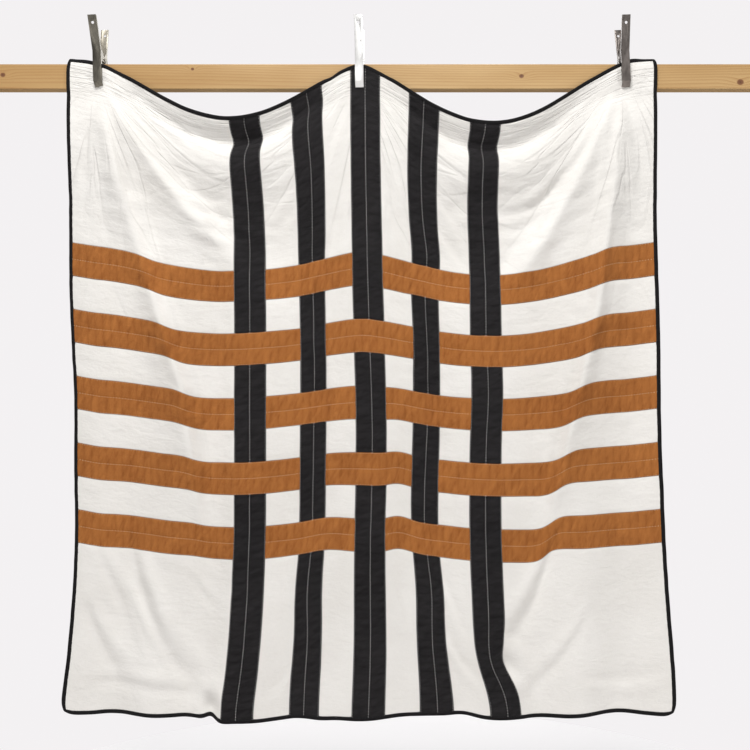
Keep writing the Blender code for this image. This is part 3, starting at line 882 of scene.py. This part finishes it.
def passes_over(along, middles, number, parity, ease=0.008):
    """1 where this strip lies over one that crosses it, -1 where it lies under one, and 0 elsewhere."""
    total = np.zeros(np.shape(along))
    for other, middle in enumerate(middles):
        over = (other + number) % 2 == parity
        reach = STRIPE / 2 + (ease if over else 0)
        total = total + smooth(reach - np.abs(along - middle), 0, ease) * (1 if over else -1)
    return total


def strip_height(across, lift):
    """Height of a strip's face this far from its own middle: a turned edge, and dents along the stitching."""
    to_edge = STRIPE / 2 - np.abs(across)
    edge = 1 - np.exp(-np.maximum(to_edge, 0) / 0.0016)
    dent = 0.0006 * hump(across, 0, 0.004) + 0.0004 * hump(to_edge, 0.004, 0.002)
    soft = 0.0007 * np.sin(math.pi * np.clip(np.abs(across) / (STRIPE / 2), 0, 1)) ** 0.8
    flat = np.minimum(lift, 0)
    face = EDGE_FACE + (STRIP_FACE - EDGE_FACE + soft * (1 + flat)) * edge
    return face - dent * (1 + flat) + (lift + 0.4 * flat) * STEP_OVER


half_strip = [0.0, 0.003, 0.008, 0.016, 0.027, 0.038, 0.047, 0.053, 0.056, 0.058, 0.0592, 0.06]
strip_across = np.array([-a for a in reversed(half_strip[1:])] + half_strip)
strip_down = np.linspace(0.006, SIDE - 0.006, 300)
strip_along = np.linspace(-HALF + 0.006, HALF - 0.006, 300)
for n in range(5):
    lift = passes_over(strip_down, tan_middle_of, n, 0)
    face = strip_height(strip_across[None, :], lift[:, None])
    name = f"black_strip_{n + 1}"
    places = middle_of[n] + strip_across, strip_down
    strip = quilt_piece(f"charcoal_{name}", *places, face, face - STRIP_THICK, black_cotton, "black_cotton")
    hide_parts(name)
for n in range(5):
    lift = passes_over(strip_along, middle_of, n, 1)
    face = strip_height(strip_across[:, None], lift[None, :])
    name = f"tan_strip_{n + 1}"
    places = strip_along, tan_middle_of[n] + strip_across
    strip = quilt_piece(f"caramel_{name}", *places, face, face - STRIP_THICK, tan_cotton, "tan_cotton")
    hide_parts(name)


# ---------------------------------------------------------------- binding
# Black bias tape, folded over the raw edge of all the layers and sewn through, with mitred corners.

binding_cotton = cotton(
    "black_binding", (0.0035, 0.0032, 0.0034), (0.0110, 0.0100, 0.0105), 0.02, 0.85, "both"
)
TAPE = (  # inset from the edge, and height, round the tape
    (0.0125, 0.0024), (0.0120, 0.0038), (0.0080, 0.0048), (0.0035, 0.0050), (0.0000, 0.0044),
    (-0.0024, 0.0024), (-0.0032, 0.0), (-0.0024, -0.0022),
    (0.0000, -0.0036), (0.0035, -0.0040), (0.0080, -0.0039), (0.0120, -0.0034), (0.0125, -0.0024),
)
for side in ("top", "bottom", "left", "right"):
    rings = []
    flat = []
    share = np.linspace(0, 1, 321)
    for inset, high in TAPE:
        inner = max(inset, 0.0)
        length = inner + (SIDE - 2 * inner) * share
        if side in ("top", "bottom"):
            us, vs = length - HALF, np.array([inner, inner + 0.004])
            if side == "bottom":
                vs = SIDE - vs
            place, facing = on_quilt(us, vs)
            here, further, out = place[0], place[1], facing[0]
            flat.append(np.stack([us, np.full(len(us), vs[0]), 0 * us], -1))
        else:
            us, vs = np.array([inner, inner + 0.004]) - HALF, length
            if side == "right":
                us = -us
            place, facing = on_quilt(us, vs)
            here, further, out = place[:, 0], place[:, 1], facing[:, 0]
            flat.append(np.stack([np.full(len(vs), us[0]), vs, 0 * vs], -1))
        outward = (here - further) / np.linalg.norm(here - further, axis=-1, keepdims=True)
        rings.append(here + outward * max(-inset, 0.0) + out * high)
    rings = np.stack(rings, 1)
    count, around = rings.shape[:2]
    index = np.arange(count * around).reshape(count, around)
    next_round = np.roll(index, -1, axis=1)
    faces = np.stack([index[:-1], next_round[:-1], next_round[1:], index[1:]], -1).reshape(-1, 4).tolist()
    faces += [index[0].tolist()[::-1], index[-1].tolist()]
    mesh = bpy.data.meshes.new(f"tape_{side}")
    mesh.from_pydata(rings.reshape(-1, 3).tolist(), [], faces)
    shape = bmesh.new()
    shape.from_mesh(mesh)
    bmesh.ops.recalc_face_normals(shape, faces=shape.faces)
    shape.to_mesh(mesh)
    shape.free()
    cut = mesh.attributes.new("cut", "FLOAT_VECTOR", "POINT")
    cut.data.foreach_set("vector", np.stack(flat, 1).astype(np.float32).ravel())
    mesh.shade_smooth()
    mesh.materials.append(binding_cotton)
    tape = placed(f"binding_tape_{side}", mesh)
    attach(tape, "rack")
    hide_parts(f"binding_{side}")


# ---------------------------------------------------------------- thread
# All the sewing is by hand in thick cotton thread: a running stitch down the middle of every strip, small
# stitches that hold each strip's turned edges, rows of quilting across the ground, and a line that holds the
# binding.

STITCH_INPUTS = {
    "Spacing": "NodeSocketFloat",
    "Length": "NodeSocketFloat",
    "Thickness": "NodeSocketFloat",
    "Sides": "NodeSocketInt",
    "Unevenness": "NodeSocketFloat",
    "Seed": "NodeSocketInt",
    "Thread": "NodeSocketMaterial",
}


def stitch_tree():
    """Nodes that sew along every line of a mesh: one rounded stitch at each step, laid along the line."""
    tree = bpy.data.node_groups.new("hand_stitches", "GeometryNodeTree")
    tree.interface.new_socket("Lines", in_out="INPUT", socket_type="NodeSocketGeometry")
    for name, kind in STITCH_INPUTS.items():
        tree.interface.new_socket(name, in_out="INPUT", socket_type=kind)
    tree.interface.new_socket("Stitches", in_out="OUTPUT", socket_type="NodeSocketGeometry")
    given = tree.nodes.new("NodeGroupInput")
    made = tree.nodes.new("NodeGroupOutput")

    def add(kind, settings=None, **sockets):
        node = tree.nodes.new(kind)
        for name, value in (settings or {}).items():
            setattr(node, name, value)
        for name, value in sockets.items():
            if isinstance(value, bpy.types.NodeSocket):
                tree.links.new(value, node.inputs[name.replace("_", " ")])
            else:
                node.inputs[name.replace("_", " ")].default_value = value
        return node.outputs[0]

    lines = add("GeometryNodeMeshToCurve", Mesh=given.outputs["Lines"])
    steps = add("GeometryNodeResampleCurve", {"mode": "LENGTH"}, Curve=lines, Length=given.outputs["Spacing"])
    bead = add("GeometryNodeMeshUVSphere", Segments=given.outputs["Sides"], Rings=3, Radius=0.5)
    way = add("FunctionNodeAlignRotationToVector", {"axis": "Z"}, Vector=add("GeometryNodeInputTangent"))
    shortest = add("ShaderNodeMath", {"operation": "SUBTRACT"})
    shortest.node.inputs[0].default_value = 1.0
    tree.links.new(given.outputs["Unevenness"], shortest.node.inputs[1])
    uneven = tree.nodes.new("FunctionNodeRandomValue")
    uneven.data_type = "FLOAT"
    numbers = [socket for socket in uneven.inputs if socket.type == "VALUE"]
    tree.links.new(shortest, numbers[0])
    numbers[1].default_value = 1.0
    tree.links.new(given.outputs["Seed"], uneven.inputs["Seed"])
    chance = [socket for socket in uneven.outputs if socket.type == "VALUE"][0]
    length = add("ShaderNodeMath", {"operation": "MULTIPLY"})
    tree.links.new(given.outputs["Length"], length.node.inputs[0])
    tree.links.new(chance, length.node.inputs[1])
    thick = given.outputs["Thickness"]
    size = add("ShaderNodeCombineXYZ", X=thick, Y=thick, Z=length)
    sewn = add("GeometryNodeInstanceOnPoints", Points=steps, Instance=bead, Rotation=way, Scale=size)
    sewn = add("GeometryNodeRealizeInstances", Geometry=sewn)
    sewn = add("GeometryNodeSetShadeSmooth", Geometry=sewn)
    sewn = add("GeometryNodeSetMaterial", Geometry=sewn, Material=given.outputs["Thread"])
    tree.links.new(sewn, made.inputs["Stitches"])
    return tree


HAND_STITCHES = stitch_tree()


def sew(name, lines, thread, slot, **sizes):
    """One piece that holds every stitch along these lines, each a list of places."""
    points = np.concatenate(lines)
    starts = np.cumsum([0] + [len(line) for line in lines[:-1]])
    edges = [(start + i, start + i + 1) for start, line in zip(starts, lines) for i in range(len(line) - 1)]
    guide_mesh = bpy.data.meshes.new(f"{name}_lines")
    guide_mesh.from_pydata(points.tolist(), [tuple(int(i) for i in edge) for edge in edges], [])
    guide = placed(f"{name}_lines", guide_mesh)
    step = guide.modifiers.new("sewing", "NODES")
    step.node_group = HAND_STITCHES
    values = {"Thread": thread, "Seed": 7, "Unevenness": 0.22, **sizes}
    for item in HAND_STITCHES.interface.items_tree:
        if item.name in values:
            step[item.identifier] = values[item.name]
    made = bpy.data.meshes.new_from_object(guide.evaluated_get(bpy.context.evaluated_depsgraph_get()))
    made.name = name
    bpy.data.objects.remove(guide)
    piece = placed(name, made)
    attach(piece, "rack")
    return piece


def thread_finish(name, dull, bright):
    """Two-ply thread: a slight twist along it, and a dull shine."""
    thread = Finish(name, 0.62, Sheen_Weight=0.2)
    ply = thread.noise(thread.place((1500, 1500, 1500)), 1.0, 1.0)
    shade = thread.noise(thread.place((30, 30, 30)), 1.0, 2.0)
    return thread.paint(thread.mix(ply * 0.6 + shade * 0.4, dull, bright), bumps=[(ply * 0.0001, 0.4)])


white_thread = thread_finish("white_thread", (0.58, 0.56, 0.54), (0.86, 0.84, 0.80))
gold_thread = thread_finish("pale_gold_thread", (0.56, 0.36, 0.19), (0.86, 0.63, 0.38))
black_thread = thread_finish("black_thread", (0.012, 0.011, 0.012), (0.030, 0.028, 0.030))


def open_runs(mask):
    """Stretches of a list where the mask holds, as slices."""
    marks = np.flatnonzero(np.diff(np.concatenate([[0], np.asarray(mask, int), [0]])))
    return [slice(a, b) for a, b in zip(marks[::2], marks[1::2]) if b - a > 2]


def line_on(us, vs, height):
    """A line on the quilt, along u or along v, this high over the middle sheet."""
    place, facing = on_quilt(us, vs)
    if len(us) == 1:
        return place[:, 0] + facing[:, 0] * np.reshape(height, (-1, 1))
    return place[0] + facing[0] * np.reshape(height, (-1, 1))


EDGE_SEAM = 0.0030  # from a strip's edge to the stitches that hold it
sewing = {"charcoal": ([], []), "caramel": ([], [])}
for n in range(5):
    for colour, along, others, parity in (
        ("charcoal", np.linspace(0.012, SIDE - 0.012, 700), tan_middle_of, 0),
        ("caramel", np.linspace(-HALF + 0.012, HALF - 0.012, 700), middle_of, 1),
    ):
        lift = passes_over(along, others, n, parity)
        for across in (0.0, EDGE_SEAM - STRIPE / 2, STRIPE / 2 - EDGE_SEAM):
            at = np.array([(middle_of if colour == "charcoal" else tan_middle_of)[n] + across])
            height = strip_height(np.full(along.shape, across), lift) + 0.00025
            line = line_on(at, along, height) if colour == "charcoal" else line_on(along, at, height)
            for run in open_runs(lift > -0.01):
                sewing[colour][0 if across == 0 else 1].append(line[run])
running = {"Spacing": 0.0100, "Length": 0.0046, "Thickness": 0.0026, "Sides": 6}
holding = {"Spacing": 0.0096, "Length": 0.0040, "Thickness": 0.0019, "Sides": 4}
threads = [
    sew("running_stitch_on_charcoal", sewing["charcoal"][0], white_thread, "white_cotton", **running),
    sew("running_stitch_on_caramel", sewing["caramel"][0], gold_thread, "white_cotton", **running),
    sew("edge_stitches_on_charcoal", sewing["charcoal"][1], white_thread, "white_cotton", **holding),
    sew("edge_stitches_on_caramel", sewing["caramel"][1], gold_thread, "white_cotton", **holding),
]

rows_of_quilting = []
along = np.linspace(-HALF + 0.014, HALF - 0.014, 500)
for row in np.arange(ROW, SIDE - BINDING_WIDE, ROW):
    covered = lattice_cover(along, np.full(along.shape, row)) > 0.02
    line = line_on(along, np.array([row]), puffed(along, np.full(along.shape, row)) + 0.00012)
    rows_of_quilting += [line[run] for run in open_runs(~covered)]
threads.append(
    sew(
        "quilting_stitches", rows_of_quilting, white_thread, "white_cotton",
        Spacing=0.0100, Length=0.0046, Thickness=0.0009, Sides=4,
    )
)

round_the_edge = np.linspace(0.013, SIDE - 0.013, 600)
hem_lines = []
for inset in (0.0100, SIDE - 0.0100):
    hem_lines.append(line_on(round_the_edge - HALF, np.array([inset]), 0.0042))
    hem_lines.append(line_on(np.array([inset - HALF]), round_the_edge, 0.0042))
threads.append(
    sew(
        "binding_stitches", hem_lines, black_thread, "black_binding",
        Spacing=0.0060, Length=0.0036, Thickness=0.0010, Sides=4,
    )
)


# ---------------------------------------------------------------- clamp arms
# Two pressed arms to a clamp, folded from 1.6 mm steel and nickel plated. The plating is scuffed by use, and
# every pressed edge is slightly rounded. The clamps share one steel in lit and shaded copies: the middle
# clamp's is painted bright, a painted highlight, and the side clamps' are painted dark, a painted shade.

ARM_EDGE = 0.00035


def steel(name, dark, light, roughness, streak):
    """Plated steel with rolling marks along it, a few scratches and dull smears."""
    made = Finish(name, roughness, Metallic=1.0)
    rolled = made.noise(made.place((700, 700, 24)), 1.0, 3.0, 0.6)
    smear = made.noise(made.place((26, 26, 11)), 1.0, 4.0, 0.6, 0.6)
    speck = made.noise(made.place((420, 420, 420)), 1.0, 2.0)
    scratch = made.noise(made.place((30, 30, 260), (0.5, 0.3, 0)), 1.0, 2.0, 0.5, 1.5)
    scratch = abs(scratch - 0.5).ramp(0.012, 0.0)
    tone = smear * 0.6 + rolled * 0.4
    colour = made.mix(tone.ramp(0.30, 0.75), dark, light)
    colour = made.mix(speck.ramp(0.62, 0.78) * 0.35, colour, tuple(0.45 * c for c in dark))
    rough = smear * 0.30 + rolled * 0.10 + scratch * 0.12 + (roughness - 0.18)
    marks = rolled * (0.00006 * streak) + scratch * -0.00005
    return made.paint(colour, rough, [(marks, 0.6), (speck * 0.00003, 0.4)])


# One nickel in three lit and shaded copies: a painted highlight on the middle clamp, painted shade on the
# sides.
plated = {
    "left": steel("nickel_painted_shade_left", (0.115, 0.102, 0.080), (0.370, 0.342, 0.285), 0.40, 1.0),
    "middle": steel("nickel_painted_highlight", (0.72, 0.71, 0.69), (0.95, 0.94, 0.92), 0.36, 1.0),
    "right": steel("nickel_painted_shade_right", (0.110, 0.094, 0.083), (0.360, 0.320, 0.295), 0.40, 1.0),
}


def rounded_copy(node, name, finish, edge):
    """The node's shape as one welded mesh with its sharp edges rounded."""
    mesh = frame["nodes"][node].data.copy()
    mesh.name = name
    shape = bmesh.new()
    shape.from_mesh(mesh)
    bmesh.ops.remove_doubles(shape, verts=shape.verts, dist=1e-5)
    bmesh.ops.dissolve_limit(
        shape, angle_limit=math.radians(1), verts=shape.verts, edges=shape.edges, delimit={"NORMAL"}
    )
    folded = [e for e in shape.edges if e.is_manifold and e.calc_face_angle() > math.radians(28)]
    sharp = [e for e in folded if e.calc_length() > 2.2 * edge]
    bmesh.ops.bevel(
        shape, geom=sharp, offset=edge, segments=2, profile=0.6, affect="EDGES", clamp_overlap=True
    )
    bmesh.ops.recalc_face_normals(shape, faces=shape.faces)
    shape.to_mesh(mesh)
    shape.free()
    mesh.shade_smooth()
    mesh.set_sharp_from_angle(angle=math.radians(32))
    mesh.materials.clear()
    mesh.materials.append(finish)
    piece = placed(name, mesh)
    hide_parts(node)
    return piece


CLAMPS = ("left", "middle", "right")
for clamp in CLAMPS:
    for arm in ("front", "rear"):
        piece = rounded_copy(f"clamp_{clamp}_{arm}_arm", f"{clamp}_{arm}_arm", plated[clamp], ARM_EDGE)
        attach(piece, f"clamp_{clamp}_{arm}")


# ---------------------------------------------------------------- rivets and springs
# The rivet is turned, with a low domed head at each end. The spring is 2.6 mm oiled wire, wound nearly five
# turns round it, and each of its legs presses on one handle.

SHANK = 0.0154  # half the length between the heads
HEAD = 0.0055
WIRE = 0.0013
COIL = 0.0065
COIL_WIDE = 0.0150
LEG_END = (0.0443, 0.055)  # how far out and up from the pin each leg reaches, inside the handle
joint_of = {joint["name"]: joint for joint in frame["joints"]}


def turned(profile, steps=40):
    """A closed turned shape: (radius, height) points from the top of the axis to its foot, turned about Z."""
    shape = bmesh.new()
    rings = []
    for radius, height in profile:
        if radius == 0:
            rings.append([shape.verts.new((0, 0, height))])
            continue
        turns = [2 * math.pi * i / steps for i in range(steps)]
        rings.append([shape.verts.new((radius * math.cos(a), radius * math.sin(a), height)) for a in turns])
    for upper, lower in zip(rings, rings[1:]):
        for i in range(steps):
            corners = [upper[i % len(upper)], upper[(i + 1) % len(upper)]]
            corners += [lower[(i + 1) % len(lower)], lower[i % len(lower)]]
            shape.faces.new(list(dict.fromkeys(corners)))
    bmesh.ops.recalc_face_normals(shape, faces=shape.faces)
    return shape


def rivet_profile():
    rim = SHANK + 0.0008
    dome = [(HEAD * math.sin(a), rim + 0.0014 * math.cos(a)) for a in np.linspace(0, math.pi / 2, 7)]
    dome[0] = (0, dome[0][1])
    half = dome + [(HEAD, SHANK), (0.0030, SHANK)]
    return half + [(radius, -height) for radius, height in reversed(half)]


def spring_line():
    """The wire's middle line, as (along the pin, out, up): rear leg, coil, front leg."""
    out, up = LEG_END
    lift = math.acos(COIL / math.hypot(out, up))
    rear = math.atan2(up, out) + lift
    turn = math.pi - 2 * rear + 10 * math.pi
    line = [Vector((-COIL_WIDE / 2, out, up)).lerp(coil_point(rear, 0), i / 5) for i in range(5)]
    steps = round(turn / math.radians(15))
    line += [coil_point(rear + turn * i / steps, i / steps) for i in range(steps + 1)]
    end = Vector((COIL_WIDE / 2, -out, up))
    line += [coil_point(rear + turn, 1).lerp(end, i / 5) for i in range(1, 6)]
    return line


def coil_point(angle, share):
    return Vector((COIL_WIDE * (share - 0.5), COIL * math.cos(angle), COIL * math.sin(angle)))


spring_wire = steel("oiled_spring_wire", (0.10, 0.093, 0.085), (0.32, 0.30, 0.27), 0.34, 0.5)
for clamp in CLAMPS:
    opens = joint_of[f"clamp_{clamp}_open"]
    pin = Vector(opens["pos_m"])
    pin_line = -Vector(opens["axis"])
    stand = Matrix.Translation(pin) @ Matrix.Rotation(math.atan2(-pin_line.z, pin_line.x), 4, "Y")

    shape = turned(rivet_profile())
    bmesh.ops.transform(shape, matrix=stand @ Matrix.Rotation(math.radians(90), 4, "Y"), verts=shape.verts)
    mesh = bpy.data.meshes.new(f"{clamp}_rivet")
    shape.to_mesh(mesh)
    shape.free()
    mesh.shade_smooth()
    mesh.set_sharp_from_angle(angle=math.radians(40))
    # The rivet takes its clamp's copy of the nickel, with that copy's painted highlight or painted shade.
    mesh.materials.append(plated[clamp])
    rivet = placed(f"{clamp}_rivet", mesh)
    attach(rivet, f"clamp_{clamp}_front")
    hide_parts(f"clamp_{clamp}_rivet")

    wire = bpy.data.curves.new(f"{clamp}_spring", "CURVE")
    wire.dimensions = "3D"
    wire.bevel_depth = WIRE
    wire.bevel_resolution = 3
    wire.use_fill_caps = True
    line = spring_line()
    spline = wire.splines.new("POLY")
    spline.points.add(len(line) - 1)
    for point, place in zip(spline.points, line):
        point.co = (*(stand @ place), 1)
    guide = placed("wire", wire)
    mesh = bpy.data.meshes.new_from_object(guide.evaluated_get(bpy.context.evaluated_depsgraph_get()))
    bpy.data.objects.remove(guide)
    shape = bmesh.new()
    shape.from_mesh(mesh)
    bmesh.ops.remove_doubles(shape, verts=shape.verts, dist=1e-6)
    bmesh.ops.recalc_face_normals(shape, faces=shape.faces)
    shape.to_mesh(mesh)
    shape.free()
    mesh.name = f"{clamp}_spring"
    mesh.shade_smooth()
    mesh.materials.clear()
    mesh.materials.append(spring_wire)
    spring = placed(f"{clamp}_spring", mesh)
    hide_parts(f"clamp_{clamp}_spring")
    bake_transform(spring)
